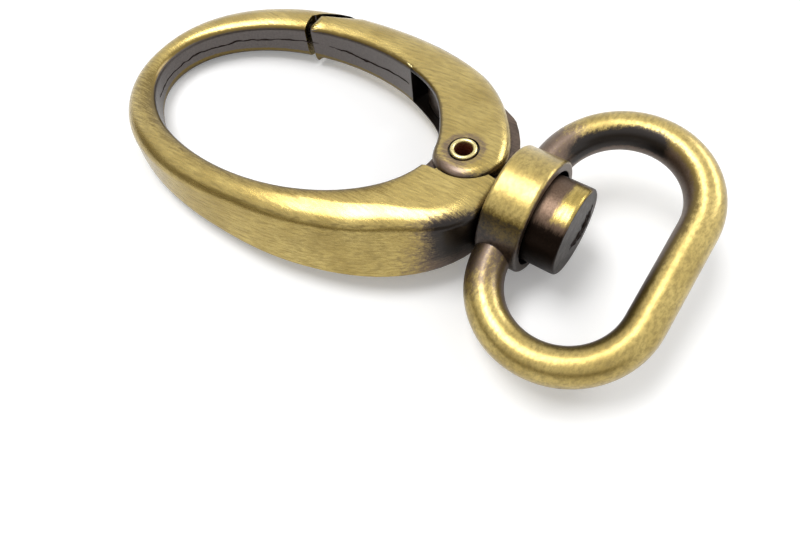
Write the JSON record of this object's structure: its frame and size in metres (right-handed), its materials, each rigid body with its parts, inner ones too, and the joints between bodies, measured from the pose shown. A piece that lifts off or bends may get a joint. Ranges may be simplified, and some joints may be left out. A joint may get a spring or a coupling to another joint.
{
  "type": "swivel snap hook",
  "caption": "Oval snap hook with a spring-closed gate that opens inward, on a swivel with a stadium-shaped loop for a strap.",
  "frame": {"origin": "middle of the loop's strap bar, on the swivel's axis", "axes": "+X along the swivel's axis towards the strap, +Y to the gate's side, +Z through the hook's thickness"},
  "size_m": [0.068, 0.0331, 0.0122],
  "materials": {
    "antique_brass": "brushed antique brass plating on a zinc casting, dark in the recesses",
    "bright_brass": "plain brass tube, rolled",
    "spring_steel": "drawn spring wire",
    "dark_brass": "antique brass plating, darkened"
  },
  "bodies": {
    "hook": {"hook_body": "antique_brass", "hinge_rivet": "bright_brass", "gate_spring": "spring_steel", "swivel_post": "dark_brass"},
    "gate": {"gate": "antique_brass"},
    "loop": {"swivel_loop": "antique_brass"}
  },
  "joints": [
    {"name": "gate_hinge", "type": "hinge", "parent": "hook", "child": "gate", "pos_m": [-0.0236, 0.001, 0], "axis": [0, 0, 1], "range_deg": [0, 26], "stiffness_Nm_per_rad": 0.12, "springref_deg": -20.05, "deforming": ["gate_spring"]},
    {"name": "loop_swivel", "type": "hinge", "parent": "hook", "child": "loop", "pos_m": [-0.01575, 0, 0], "axis": [1, 0, 0], "continuous": true}
  ]
}
